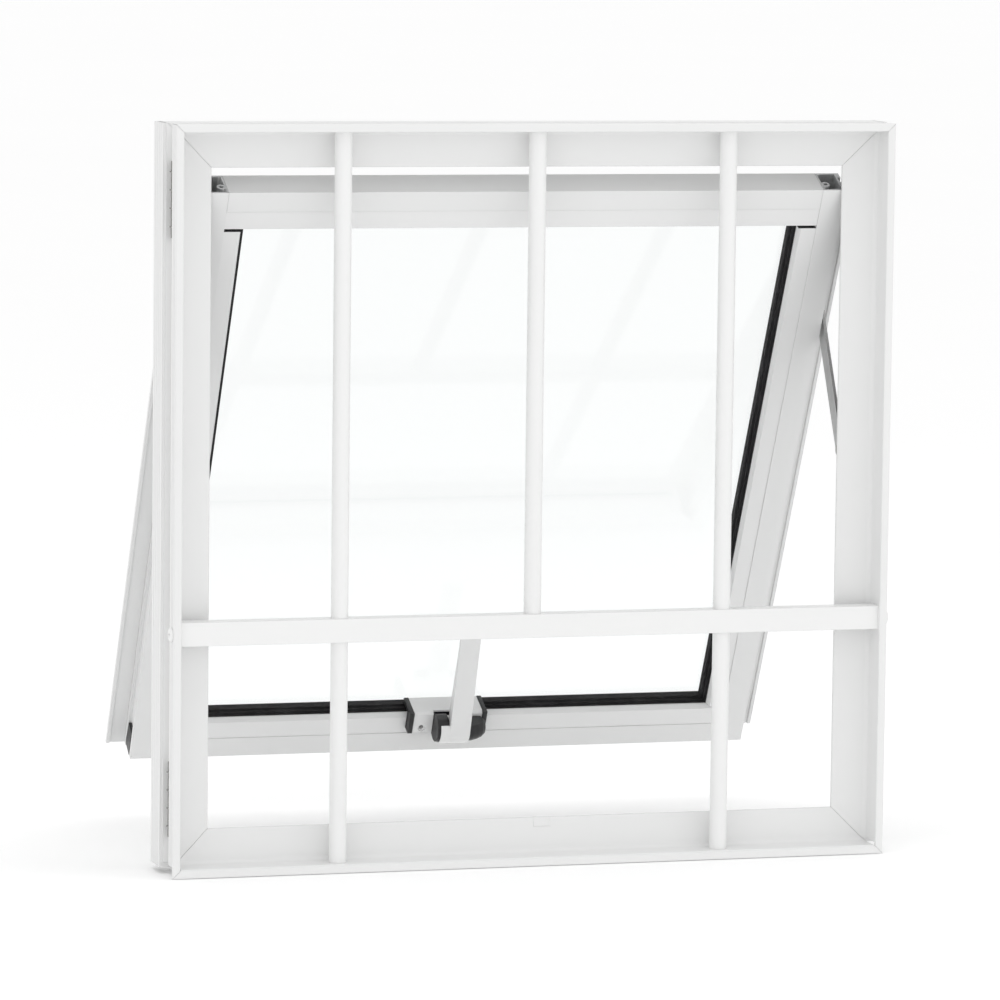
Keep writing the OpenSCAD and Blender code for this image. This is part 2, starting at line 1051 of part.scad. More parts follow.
// Hub fixed in the bracket's bay: a knuckle on each side of the lever and a thin back plate.
module latch_hub() {
  left_end = lever_left - lever_turn_gap;
  right_start = lever_right + lever_turn_gap;
  bay_end = bay_right - 0.15;
  back = hub_out + bead_step - touch;
  color(black)
    on_latch()
      translate([0, -hub_out, hub_level])
        difference() {
          union() {
            rod_x(hub_left, left_end, hub_radius);
            translate([hub_left, 0, -hub_low])
              cube([lever_left - lever_ear - lever_turn_gap - hub_left, back, hub_low + hub_high]);
            translate([right_start, 0, -hub_low])
              cube([bay_end - right_start, back, hub_low + hub_high]);
            translate([hub_left, lever_outer + lever_turn_gap, -hub_low])
              cube([
                bay_end - hub_left,
                back - lever_outer - lever_turn_gap,
                hub_low + hub_high
              ]);
            difference() {
              translate([right_start, 0, 0])
                rotate([0, 90, 0])
                  rotate_extrude($fn = round_fn)
                    polygon([
                      [0, 0],
                      [hub_radius, 0],
                      [hub_radius, 3],
                      [hub_radius - 1.2, 8],
                      [hub_radius - 2.8, 12],
                      [hub_radius - 5.5, 15],
                      [0, hub_right - right_start]
                    ]);
              translate([bay_end, hub_out - bracket_out - 1.8, -20])
                cube([20, 40, 40]);
              translate([right_start - 1, -20, hub_high])
                cube([30, 40, 20]);
            }
          }
          rod_x(hub_left + 1.4, hub_right - 4, pin_radius + touch);
        }
}

module latch_pin() {
  color(steel)
    on_latch()
      translate([0, -hub_out, hub_level])
        rod_x(hub_left + 1.5, hub_right - 4, pin_radius);
}

// A curved piece of the lever's strap as (depth, height) round the pivot.
module lever_curve(from, to, inner, start, stop) {
  run_along(from, to)
    polygon(concat(
      arc_points([0, 0], lever_outer, start, stop, 24),
      arc_points([0, 0], inner, stop, start, 24)
    ));
}

// Lever: a strap hooked round its barrel, leaning to the glass, with tapered cheeks behind it.
module latch_lever() {
  color(white)
    on_latch()
      translate([0, -hub_out, hub_level])
        difference() {
          union() {
            rod_x(lever_left, lever_right, lever_inner + eps);
            lever_curve(lever_left, lever_right, lever_inner, 180, 330);
            lever_curve(
              lever_left - lever_ear,
              lever_left + eps,
              hub_radius + lever_turn_gap,
              164,
              292
            );
            run_along(lever_left, lever_right)
              polygon([
                [-lever_outer, 0],
                [lever_lean - lever_outer, lever_length - 1],
                [lever_lean - lever_outer + 1, lever_length],
                [lever_lean - lever_inner, lever_length - 1],
                [-lever_inner, 0]
              ]);
            for (side = [lever_left, lever_right - lever_cheek])
              run_along(side, side + lever_cheek)
                polygon([
                  [-lever_inner - eps, 0],
                  [lever_lean * 0.8 - lever_inner - eps, lever_length * 0.8],
                  [-1.6, lever_inner]
                ]);
          }
          rod_x(lever_left - 1, lever_right + 1, pin_radius + pivot_play);
        }
}

frame_head();
frame_sill();
frame_jamb_left();
frame_jamb_right();
frame_corner_cleats();
jamb_seal_ribs();
frame_seal_strips();
wall_anchors();
grille_bar_left();
grille_bar_middle();
grille_bar_right();
grille_crossbar();
crossbar_screws();
latch_keeper();
stay_track_left();
stay_track_right();
track_screws();
stay_foot_left();
stay_foot_right();
stay_arm_left();
stay_arm_right();
stay_shoe_left();
stay_shoe_right();
stay_link_left();
stay_link_right();
stay_link_screws();
sash_top_rail();
sash_bottom_rail();
sash_stile_left();
sash_stile_right();
sash_flange_left();
sash_flange_right();
sash_corner_blocks();
stile_end_plugs();
bead_top();
bead_bottom();
bead_left();
bead_right();
inner_gasket();
outer_gasket();
glass_pane();
setting_blocks();
latch_bracket();
latch_end_caps();
latch_screw();
latch_hub();
latch_pin();
latch_lever();
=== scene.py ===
"""Top-hung projecting window with a bar grille: finishes, small fittings, light and view."""

import json
import math

import bpy
from mathutils import Matrix, Vector


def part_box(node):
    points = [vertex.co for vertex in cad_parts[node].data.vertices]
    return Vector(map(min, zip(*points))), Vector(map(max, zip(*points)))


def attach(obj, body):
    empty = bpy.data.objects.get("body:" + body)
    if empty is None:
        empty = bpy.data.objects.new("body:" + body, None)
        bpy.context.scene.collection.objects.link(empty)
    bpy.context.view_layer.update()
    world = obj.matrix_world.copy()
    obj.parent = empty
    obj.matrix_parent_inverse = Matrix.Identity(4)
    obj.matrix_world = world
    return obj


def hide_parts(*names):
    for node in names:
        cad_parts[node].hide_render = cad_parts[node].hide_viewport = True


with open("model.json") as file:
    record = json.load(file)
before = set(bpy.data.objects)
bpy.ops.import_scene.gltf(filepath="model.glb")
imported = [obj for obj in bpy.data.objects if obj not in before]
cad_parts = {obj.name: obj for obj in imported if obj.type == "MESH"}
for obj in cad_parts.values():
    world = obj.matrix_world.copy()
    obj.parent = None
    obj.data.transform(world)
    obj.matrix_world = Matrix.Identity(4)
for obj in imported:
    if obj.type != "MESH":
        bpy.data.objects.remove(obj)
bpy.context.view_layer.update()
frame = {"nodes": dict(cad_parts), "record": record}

MM = 0.001
record = frame["record"]
pivots = {j["name"]: Vector(j["pos_m"]) for j in record["behaviour"]["joints"]}
slot_of = {s["node"]: s["material_slot"] for s in record["subparts"]}

sash_line = pivots["shoe_right"] - pivots["sash_tilt"]
sash_angle = math.atan2(-sash_line.y, sash_line.z)
head_high = Vector(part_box("frame_head")[1])
frame_half = head_high.x
frame_top = head_high.z
frame_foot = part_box("frame_sill")[0][2]


# ---------------------------------------------------------------- shop helpers
def pick(*objects):
    bpy.ops.object.select_all(action="DESELECT")
    for item in objects:
        item.select_set(True)
    bpy.context.view_layer.objects.active = objects[0]


def named(name):
    item = bpy.context.view_layer.objects.active
    item.name = name
    item.data.name = name
    return item


def block(name, low, high):
    bpy.ops.object.select_all(action="DESELECT")
    low, high = Vector(low), Vector(high)
    bpy.ops.mesh.primitive_cube_add(size=1, location=(low + high) / 2)
    item = named(name)
    item.scale = high - low
    bpy.ops.object.transform_apply(location=True, rotation=True, scale=True)
    return item


def rod(name, start, end, radius, sides=48):
    """A round bar between two points on a line along X, Y or Z."""
    bpy.ops.object.select_all(action="DESELECT")
    start, end = Vector(start), Vector(end)
    bpy.ops.mesh.primitive_cylinder_add(
        vertices=sides, radius=radius, depth=(end - start).length, location=(start + end) / 2
    )
    item = named(name)
    item.rotation_mode = "QUATERNION"
    item.rotation_quaternion = Vector((0, 0, 1)).rotation_difference(end - start)
    bpy.ops.object.transform_apply(location=True, rotation=True, scale=True)
    item.rotation_mode = "XYZ"
    return item


def harden(item, kind, **settings):
    pick(item)
    modifier = item.modifiers.new(kind.title(), kind)
    for key, value in settings.items():
        setattr(modifier, key, value)
    bpy.ops.object.modifier_apply(modifier=modifier.name)


def round_edges(item, width, segments=3, angle=30):
    harden(
        item, "BEVEL", width=width, segments=segments, limit_method="ANGLE",
        angle_limit=math.radians(angle), use_clamp_overlap=True,
    )
    smooth(item)


def smooth(item, angle=40):
    pick(item)
    bpy.ops.object.shade_smooth_by_angle(angle=math.radians(angle))


def cut_away(item, tool):
    harden(item, "BOOLEAN", operation="DIFFERENCE", solver="EXACT", object=tool)
    bpy.data.objects.remove(tool, do_unlink=True)


def weld(name, *pieces):
    pick(*pieces)
    bpy.ops.object.join()
    return named(name)


def tidy_shell(item, distance=1e-6):
    pick(item)
    bpy.ops.object.mode_set(mode="EDIT")
    bpy.ops.mesh.select_all(action="SELECT")
    bpy.ops.mesh.remove_doubles(threshold=distance)
    bpy.ops.mesh.normals_make_consistent(inside=False)
    bpy.ops.object.mode_set(mode="OBJECT")


def settle(item, place, turn=0.0):
    """Turns a piece about X and puts it in its place, all in its mesh."""
    pick(item)
    item.rotation_euler = (turn, 0, 0)
    item.location = place
    bpy.ops.object.transform_apply(location=True, rotation=True, scale=True)


def copy_across(item, name):
    pick(item)
    bpy.ops.object.duplicate()
    twin = named(name)
    bpy.ops.object.mode_set(mode="EDIT")
    bpy.ops.mesh.select_all(action="SELECT")
    bpy.ops.transform.mirror(constraint_axis=(True, False, False), center_override=(0, 0, 0))
    bpy.ops.mesh.normals_make_consistent(inside=False)
    bpy.ops.object.mode_set(mode="OBJECT")
    return twin


def keep_faces(item, test):
    """Selects, in edit mode, the faces whose centre and normal pass the test."""
    bpy.ops.object.mode_set(mode="OBJECT")
    for edge in item.data.edges:
        edge.select = False
    for vertex in item.data.vertices:
        vertex.select = False
    for face in item.data.polygons:
        face.select = test(face.center, face.normal)
    bpy.ops.object.mode_set(mode="EDIT")
    bpy.ops.mesh.select_mode(type="FACE")


# ---------------------------------------------------------------- shared finish effects
def new_effect(name, inputs, outputs):
    """A shader node group with named float or vector sockets; returns its tree and its two ends."""
    tree = bpy.data.node_groups.new(name, "ShaderNodeTree")
    for title, kind, value in inputs:
        socket = tree.interface.new_socket(title, in_out="INPUT", socket_type=kind)
        if value is not None:
            socket.default_value = value
    for title, kind in outputs:
        tree.interface.new_socket(title, in_out="OUTPUT", socket_type=kind)
    return tree, tree.nodes.new("NodeGroupInput"), tree.nodes.new("NodeGroupOutput")


FLOAT, VECTOR = "NodeSocketFloat", "NodeSocketVector"


def add(tree, kind, **settings):
    node = tree.nodes.new("ShaderNode" + kind)
    for key, value in settings.items():
        if key == "inputs":
            for socket, content in value.items():
                node.inputs[socket].default_value = content
        else:
            setattr(node, key, value)
    return node


def sum_of(tree, operation, first, second, third=None, clamp=False):
    node = add(tree, "Math", operation=operation, use_clamp=clamp)
    for index, source in enumerate((first, second, third)):
        if source is None:
            continue
        if isinstance(source, (int, float)):
            node.inputs[index].default_value = source
        else:
            tree.links.new(source, node.inputs[index])
    return node.outputs[0]


def orange_peel_effect():
    """Fine skin of a baked powder coat: a small height and a slow drift of tone."""
    tree, start, end = new_effect(
        "orange_peel",
        [("Place", VECTOR, None), ("Grain", FLOAT, 900.0), ("Drift", FLOAT, 6.0)],
        [("Height", FLOAT), ("Tone", FLOAT)],
    )
    fine = add(tree, "TexNoise", inputs={"Detail": 2.0, "Roughness": 0.45})
    slow = add(tree, "TexNoise", inputs={"Detail": 3.0, "Roughness": 0.5})
    for node, scale in ((fine, "Grain"), (slow, "Drift")):
        tree.links.new(start.outputs["Place"], node.inputs["Vector"])
        tree.links.new(start.outputs[scale], node.inputs["Scale"])
    tree.links.new(fine.outputs["Fac"], end.inputs["Height"])
    tree.links.new(slow.outputs["Fac"], end.inputs["Tone"])
    return tree


def worn_edge_effect():
    """Mask of the outer edges, broken up by a noise, and the rounded normal that goes with it."""
    tree, start, end = new_effect(
        "worn_edge",
        [("Place", VECTOR, None), ("Width", FLOAT, 0.0005), ("Breakup", FLOAT, 140.0)],
        [("Edge", FLOAT), ("Rounded", VECTOR)],
    )
    bevel = add(tree, "Bevel", samples=6)
    tree.links.new(start.outputs["Width"], bevel.inputs["Radius"])
    flat = add(tree, "NewGeometry")
    dot = add(tree, "VectorMath", operation="DOT_PRODUCT")
    tree.links.new(bevel.outputs["Normal"], dot.inputs[0])
    tree.links.new(flat.outputs["Normal"], dot.inputs[1])
    away = sum_of(tree, "SUBTRACT", 1.0, dot.outputs["Value"])
    noise = add(tree, "TexNoise", inputs={"Detail": 4.0, "Roughness": 0.6})
    tree.links.new(start.outputs["Place"], noise.inputs["Vector"])
    tree.links.new(start.outputs["Breakup"], noise.inputs["Scale"])
    broken = sum_of(tree, "MULTIPLY", away, noise.outputs["Fac"])
    tree.links.new(sum_of(tree, "MULTIPLY", broken, 9.0, clamp=True), end.inputs["Edge"])
    tree.links.new(bevel.outputs["Normal"], end.inputs["Rounded"])
    return tree


def settled_dust_effect():
    """Light dust on faces that look up, in soft patches."""
    tree, start, end = new_effect(
        "settled_dust",
        [("Place", VECTOR, None), ("Amount", FLOAT, 0.2), ("Patch", FLOAT, 25.0)],
        [("Dust", FLOAT)],
    )
    geometry = add(tree, "NewGeometry")
    split = add(tree, "SeparateXYZ")
    tree.links.new(geometry.outputs["Normal"], split.inputs[0])
    noise = add(tree, "TexNoise", inputs={"Detail": 6.0, "Roughness": 0.65})
    tree.links.new(start.outputs["Place"], noise.inputs["Vector"])
    tree.links.new(start.outputs["Patch"], noise.inputs["Scale"])
    upward = sum_of(tree, "SUBTRACT", split.outputs["Z"], 0.55, clamp=True)
    patch = sum_of(tree, "SUBTRACT", noise.outputs["Fac"], 0.38, clamp=True)
    both = sum_of(tree, "MULTIPLY", upward, patch)
    strength = sum_of(tree, "MULTIPLY", start.outputs["Amount"], 6.0)
    tree.links.new(sum_of(tree, "MULTIPLY", both, strength, clamp=True), end.inputs["Dust"])
    return tree


def drawn_line_effect():
    """Faint die lines of an extrusion or a rolled strip, along one direction."""
    tree, start, end = new_effect(
        "drawn_lines",
        [("Place", VECTOR, None), ("Stretch", VECTOR, (1.0, 1.0, 1.0)), ("Scale", FLOAT, 300.0)],
        [("Height", FLOAT), ("Tone", FLOAT)],
    )
    shaped = add(tree, "VectorMath", operation="MULTIPLY")
    tree.links.new(start.outputs["Place"], shaped.inputs[0])
    tree.links.new(start.outputs["Stretch"], shaped.inputs[1])
    noise = add(tree, "TexNoise", inputs={"Detail": 5.0, "Roughness": 0.7})
    tree.links.new(shaped.outputs[0], noise.inputs["Vector"])
    tree.links.new(start.outputs["Scale"], noise.inputs["Scale"])
    tree.links.new(noise.outputs["Fac"], end.inputs["Height"])
    spread = add(tree, "MapRange", inputs={"From Min": 0.3, "From Max": 0.7})
    tree.links.new(noise.outputs["Fac"], spread.inputs["Value"])
    tree.links.new(spread.outputs[0], end.inputs["Tone"])
    return tree


def joint_line_effect():
    """Thin mask where a coordinate comes close to a given value: a joint between two lengths."""
    tree, start, end = new_effect(
        "joint_line",
        [("Offset", FLOAT, 0.0), ("Width", FLOAT, 0.0002)],
        [("Line", FLOAT)],
    )
    gap = sum_of(tree, "ABSOLUTE", start.outputs["Offset"], 0.0)
    near = sum_of(tree, "DIVIDE", gap, start.outputs["Width"])
    tree.links.new(sum_of(tree, "SUBTRACT", 1.0, near, clamp=True), end.inputs["Line"])
    return tree


def moulded_pore_effect():
    """Pores and soft lumps of black rubber and moulded plastic."""
    tree, start, end = new_effect(
        "moulded_pores",
        [("Place", VECTOR, None), ("Pore", FLOAT, 1400.0), ("Lump", FLOAT, 90.0)],
        [("Height", FLOAT), ("Bloom", FLOAT)],
    )
    pores = add(tree, "TexNoise", inputs={"Detail": 3.0, "Roughness": 0.6})
    lumps = add(tree, "TexNoise", inputs={"Detail": 4.0, "Roughness": 0.55})
    for node, scale in ((pores, "Pore"), (lumps, "Lump")):
        tree.links.new(start.outputs["Place"], node.inputs["Vector"])
        tree.links.new(start.outputs[scale], node.inputs["Scale"])
    deep = sum_of(tree, "MULTIPLY", lumps.outputs["Fac"], 1.5)
    tree.links.new(sum_of(tree, "ADD", pores.outputs["Fac"], deep), end.inputs["Height"])
    spread = add(tree, "MapRange", inputs={"From Min": 0.45, "From Max": 0.75})
    tree.links.new(lumps.outputs["Fac"], spread.inputs["Value"])
    tree.links.new(spread.outputs[0], end.inputs["Bloom"])
    return tree


effects = {
    "peel": orange_peel_effect(),
    "edge": worn_edge_effect(),
    "dust": settled_dust_effect(),
    "lines": drawn_line_effect(),
    "joint": joint_line_effect(),
    "pores": moulded_pore_effect(),
}


class Finish:
    """A material with its Principled shader, the Object coordinates and a place to add effects."""

    def __init__(self, name, **shader):
        self.material = bpy.data.materials.new(name)
        self.material.use_nodes = True
        self.tree = self.material.node_tree
        self.shader = self.tree.nodes["Principled BSDF"]
        for title, value in shader.items():
            self.shader.inputs[title.replace("_", " ")].default_value = value
        self.place = self.tree.nodes.new("ShaderNodeTexCoord").outputs["Object"]

    def effect(self, kind, **values):
        node = self.tree.nodes.new("ShaderNodeGroup")
        node.node_tree = effects[kind]
        if "Place" in node.inputs:
            self.tree.links.new(self.place, node.inputs["Place"])
        for title, value in values.items():
            if hasattr(value, "links"):
                self.tree.links.new(value, node.inputs[title])
            else:
                node.inputs[title].default_value = value
        return node.outputs

    def sum(self, operation, first, second, third=None, clamp=False):
        return sum_of(self.tree, operation, first, second, third, clamp)

    def tint(self, factor, first, second):
        node = add(self.tree, "Mix", data_type="RGBA", clamp_factor=True)
        colours = [s for s in node.inputs if s.type == "RGBA"]
        for socket, source in zip(colours, (first, second)):
            if isinstance(source, tuple):
                socket.default_value = source
            else:
                self.tree.links.new(source, socket)
        self.tree.links.new(factor, node.inputs[0])
        return [s for s in node.outputs if s.type == "RGBA"][0]

    def wire(self, socket, source):
        self.tree.links.new(source, self.shader.inputs[socket])

    def relief(self, height, distance, strength=1.0, under=None):
        node = add(self.tree, "Bump", inputs={"Distance": distance, "Strength": strength})
        self.tree.links.new(height, node.inputs["Height"])
        if under is not None:
            self.tree.links.new(under, node.inputs["Normal"])
        return node.outputs["Normal"]

    def axes(self):
        node = add(self.tree, "SeparateXYZ")
        self.tree.links.new(self.place, node.inputs[0])
        return node.outputs


def grey(value):
    return (value, value, value, 1.0)


# ---------------------------------------------------------------- finishes of this window
def powder_coat(name, colour, roughness, grain=900.0, edge_width=0.0006):
    """White powder coat: orange peel, slow drift of tone, thinner coat on the edges, light dust."""
    finish = Finish(name, Roughness=roughness, Specular_IOR_Level=0.5, Coat_Weight=0.08)
    finish.shader.inputs["Coat Roughness"].default_value = 0.25
    peel = finish.effect("peel", Grain=grain)
    edge = finish.effect("edge", Width=edge_width)
    dust = finish.effect("dust", Amount=0.10)
    darker = tuple(c * 0.965 for c in colour[:3]) + (1.0,)
    tone = finish.tint(peel["Tone"], darker, colour)
    dusty = (colour[0] * 0.9, colour[1] * 0.885, colour[2] * 0.86, 1.0)
    tone = finish.tint(dust["Dust"], tone, dusty)
    thin = (colour[0] * 0.93, colour[1] * 0.935, colour[2] * 0.945, 1.0)
    finish.base = finish.tint(finish.sum("MULTIPLY", edge["Edge"], 0.35), tone, thin)
    finish.wire("Base Color", finish.base)
    rough = finish.sum("MULTIPLY_ADD", peel["Tone"], 0.10, roughness - 0.05)
    rough = finish.sum("MULTIPLY_ADD", dust["Dust"], 0.25, rough)
    finish.wire("Roughness", rough)
    finish.normal = finish.relief(peel["Height"], 0.00006, 0.5, edge["Rounded"])
    finish.wire("Normal", finish.normal)
    return finish


def darken_line(finish, line, depth, shade=0.35):
    """Draws a joint line into a coat: darker colour and a slight groove."""
    base = finish.tint(
        finish.sum("MULTIPLY", line, depth), finish.base, (shade, shade, shade, 1.0)
    )
    finish.base = base
    finish.wire("Base Color", base)
    low = finish.sum("SUBTRACT", 1.0, line)
    finish.normal = finish.relief(low, 0.0003, 0.6, finish.normal)
    finish.wire("Normal", finish.normal)


def frame_coat():
    """Frame sections: mitre joints run out from the four corners of the frame."""
    finish = powder_coat("frame_white_coat", (0.83, 0.832, 0.829, 1.0), 0.38)
    xyz = finish.axes()
    across = finish.sum("SUBTRACT", frame_half, finish.sum("ABSOLUTE", xyz["X"], 0.0))
    low = finish.sum("SUBTRACT", xyz["Z"], frame_foot)
    high = finish.sum("SUBTRACT", frame_top, xyz["Z"])
    nearest = finish.sum("MINIMUM", low, high)
    offset = finish.sum("SUBTRACT", across, nearest)
    line = finish.effect("joint", Offset=offset, Width=0.00045)["Line"]
    darken_line(finish, line, 0.16)
    return finish


def sash_coat():
    """Sash sections: butt joints between stiles and rails (the stiles, with their raw sawn ends,
    take stile_coat).
    """
    finish = powder_coat("sash_white_coat", (0.80, 0.803, 0.80, 1.0), 0.36)
    xyz = finish.axes()
    rail_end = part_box("sash_top_rail")[1][0]
    butt = finish.sum("SUBTRACT", finish.sum("ABSOLUTE", xyz["X"], 0.0), rail_end)
    line = finish.effect("joint", Offset=butt, Width=0.0005)["Line"]
    darken_line(finish, line, 0.2)
    return finish


PIVOT_DEPTH = 12.5 * MM
PIVOT_PAST_STILE = 5.0 * MM
HOLLOW_OUTER, HOLLOW_INNER = 3.6 * MM, 17.0 * MM
HOLLOW_FRONT, HOLLOW_BACK = 1.2 * MM, 25.6 * MM


def stile_coat():
    """A stile: coat outside, raw aluminium on the sawn top end and inside the hollow."""
    finish = powder_coat("stile_white_coat", (0.80, 0.803, 0.80, 1.0), 0.36)
    geometry = add(finish.tree, "NewGeometry")
    up = add(finish.tree, "VectorMath", operation="DOT_PRODUCT")
    up.inputs[1].default_value = (0.0, -math.sin(sash_angle), math.cos(sash_angle))
    finish.tree.links.new(geometry.outputs["Normal"], up.inputs[0])
    end_face = finish.sum("GREATER_THAN", finish.sum("ABSOLUTE", up.outputs["Value"], 0.0), 0.9)
    spot = add(finish.tree, "VectorMath", operation="DOT_PRODUCT")
    spot.inputs[1].default_value = (0.0, math.cos(sash_angle), math.sin(sash_angle))
    finish.tree.links.new(finish.place, spot.inputs[0])
    room_face = pivots["shoe_right"].dot(Vector((0, math.cos(sash_angle), math.sin(sash_angle))))
    depth = finish.sum("SUBTRACT", spot.outputs["Value"], room_face - PIVOT_DEPTH)
    xyz = finish.axes()
    side = finish.sum("ABSOLUTE", xyz["X"], 0.0)
    stile_side = pivots["shoe_right"].x - PIVOT_PAST_STILE
    inside_x = finish.sum(
        "MULTIPLY",
        finish.sum("LESS_THAN", side, stile_side - HOLLOW_OUTER),
        finish.sum("GREATER_THAN", side, stile_side - HOLLOW_INNER),
    )
    inside_y = finish.sum(
        "MULTIPLY",
        finish.sum("GREATER_THAN", depth, HOLLOW_FRONT),
        finish.sum("LESS_THAN", depth, HOLLOW_BACK),
    )
    hollow = finish.sum("MULTIPLY", inside_x, inside_y)
    raw = finish.sum("MAXIMUM", end_face, hollow)
    saw = finish.effect("lines", Stretch=(1.0, 0.08, 0.08), Scale=2500.0)
    metal = finish.tint(saw["Tone"], (0.46, 0.465, 0.47, 1.0), (0.66, 0.665, 0.67, 1.0))
    finish.base = finish.tint(raw, finish.base, metal)
    finish.wire("Base Color", finish.base)
    finish.wire("Metallic", finish.sum("MULTIPLY", raw, 0.45))
    finish.normal = finish.relief(
        finish.sum("MULTIPLY", saw["Height"], raw), 0.0002, 0.5, finish.normal
    )
    finish.wire("Normal", finish.normal)
    return finish


def latch_coat():
    """Smoother, glossier white of the latch's cast and pressed pieces."""
    return powder_coat("latch_white_gloss", (0.85, 0.852, 0.85, 1.0), 0.24, grain=1300.0,
                       edge_width=0.0003)


def grille_coat():
    finish = powder_coat("grille_white_coat", (0.87, 0.872, 0.868, 1.0), 0.33)
    draw = finish.effect("lines", Stretch=(1.0, 1.0, 0.02), Scale=700.0)
    finish.normal = finish.relief(draw["Height"], 0.00005, 0.3, finish.normal)
    finish.wire("Normal", finish.normal)
    return finish


def bead_coat():
    finish = powder_coat("bead_white_coat", (0.82, 0.822, 0.82, 1.0), 0.32)
    draw = finish.effect("lines", Stretch=(0.02, 1.0, 1.0), Scale=700.0)
    finish.normal = finish.relief(draw["Height"], 0.00004, 0.3, finish.normal)
    finish.wire("Normal", finish.normal)
    return finish


def black_rubber():
    """Gaskets and brush strips: matt black with a greyish bloom."""
    finish = Finish("black_gasket_rubber", Roughness=0.72, Specular_IOR_Level=0.35)
    pores = finish.effect("pores", Pore=1500.0, Lump=120.0)
    dust = finish.effect("dust", Amount=0.25)
    tone = finish.tint(pores["Bloom"], (0.012, 0.012, 0.013, 1.0), (0.035, 0.035, 0.037, 1.0))
    finish.wire("Base Color", finish.tint(dust["Dust"], tone, (0.09, 0.088, 0.085, 1.0)))
    finish.wire("Roughness", finish.sum("MULTIPLY_ADD", pores["Bloom"], 0.18, 0.62))
    finish.wire("Normal", finish.relief(pores["Height"], 0.0003, 0.55))
    return finish


def black_plastic():
    """Moulded end caps, hub, plugs and shoes: satin black with a fine spark texture."""
    finish = Finish("black_moulded_plastic", Roughness=0.42, Specular_IOR_Level=0.5)
    pores = finish.effect("pores", Pore=2600.0, Lump=60.0)
    edge = finish.effect("edge", Width=0.0004)
    tone = finish.tint(pores["Bloom"], (0.010, 0.010, 0.011, 1.0), (0.022, 0.022, 0.023, 1.0))
    finish.wire("Base Color", finish.tint(edge["Edge"], tone, (0.06, 0.06, 0.06, 1.0)))
    finish.wire("Roughness", finish.sum("MULTIPLY_ADD", pores["Bloom"], 0.16, 0.36))
    finish.wire("Normal", finish.relief(pores["Height"], 0.0001, 0.5, edge["Rounded"]))
    return finish


def rolled_steel(name, dark, bright, roughness):
    """Stay bars, tracks and pins: rolled strip with faint lines along its length."""
    finish = Finish(name, Metallic=1.0, Roughness=roughness)
    lines = finish.effect("lines", Stretch=(1.0, 1.0, 0.05), Scale=1200.0)
    edge = finish.effect("edge", Width=0.0003)
    peel = finish.effect("peel", Grain=400.0, Drift=40.0)
    tone = finish.tint(lines["Tone"], dark, bright)
    stain = tuple(c * 0.6 for c in dark[:3]) + (1.0,)
    tone = finish.tint(finish.sum("MULTIPLY", peel["Tone"], 0.35), tone, stain)
    finish.wire("Base Color", finish.tint(edge["Edge"], tone, bright))
    finish.wire("Roughness", finish.sum("MULTIPLY_ADD", lines["Tone"], 0.14, roughness - 0.07))
    finish.wire("Normal", finish.relief(lines["Height"], 0.00008, 0.5, edge["Rounded"]))
    return finish


def dull_zinc():
    """Plated anchors, feet and cleats: mottled grey zinc with bright rubbed edges."""
    finish = Finish("dull_zinc_plate", Metallic=0.9, Roughness=0.5)
    spangle = add(finish.tree, "TexVoronoi", inputs={"Scale": 420.0, "Randomness": 1.0})
    finish.tree.links.new(finish.place, spangle.inputs["Vector"])
    peel = finish.effect("peel", Grain=700.0, Drift=60.0)
    edge = finish.effect("edge", Width=0.0004)
    tone = finish.tint(spangle.outputs["Distance"], (0.20, 0.20, 0.195, 1.0),
                       (0.40, 0.40, 0.39, 1.0))
    tone = finish.tint(finish.sum("MULTIPLY", peel["Tone"], 0.5), tone, (0.30, 0.28, 0.25, 1.0))
    finish.wire("Base Color", finish.tint(edge["Edge"], tone, (0.75, 0.75, 0.74, 1.0)))
    finish.wire("Roughness", finish.sum("MULTIPLY_ADD", peel["Tone"], 0.25, 0.38))
    finish.wire("Normal", finish.relief(peel["Height"], 0.00015, 0.5, edge["Rounded"]))
    return finish


def window_glass():
    """Clear float glass with a faint green cast and hardly any wiping marks."""
    finish = Finish("float_glass", Transmission_Weight=1.0, IOR=1.45)
    pores = finish.effect("pores", Pore=90.0, Lump=5.0)
    finish.wire("Roughness", finish.sum("MULTIPLY", pores["Bloom"], 0.004))
    finish.wire(
        "Base Color",
        finish.tint(pores["Bloom"], (0.982, 0.997, 0.995, 1.0), (0.978, 0.994, 0.991, 1.0)),
    )
    return finish


finishes = {
    "frame_coat": frame_coat(),
    "grille_coat": grille_coat(),
    "sash_coat": sash_coat(),
    "bead_coat": bead_coat(),
    "latch_coat": latch_coat(),
    "black_rubber": black_rubber(),
    "black_plastic": black_plastic(),
    "dark_steel": rolled_steel("blackened_screw_steel", grey(0.03), grey(0.09), 0.38),
    "stay_steel": rolled_steel("rolled_stay_steel", grey(0.42), grey(0.66), 0.34),
    "plated_metal": dull_zinc(),
    "glass": window_glass(),
}
stile_finish = stile_coat()


def wear(item, slot):
    """Gives a piece one finish all over: the finish of the record's slot that it belongs to."""
    item.data.materials.clear()
    item.data.materials.append(finishes[slot].material)


for node, item in frame["nodes"].items():
    coat = finishes[slot_of[node]]
    if node.startswith(("sash_stile", "sash_flange")):
        coat = stile_finish
    for place in item.material_slots:
        place.material = coat.material


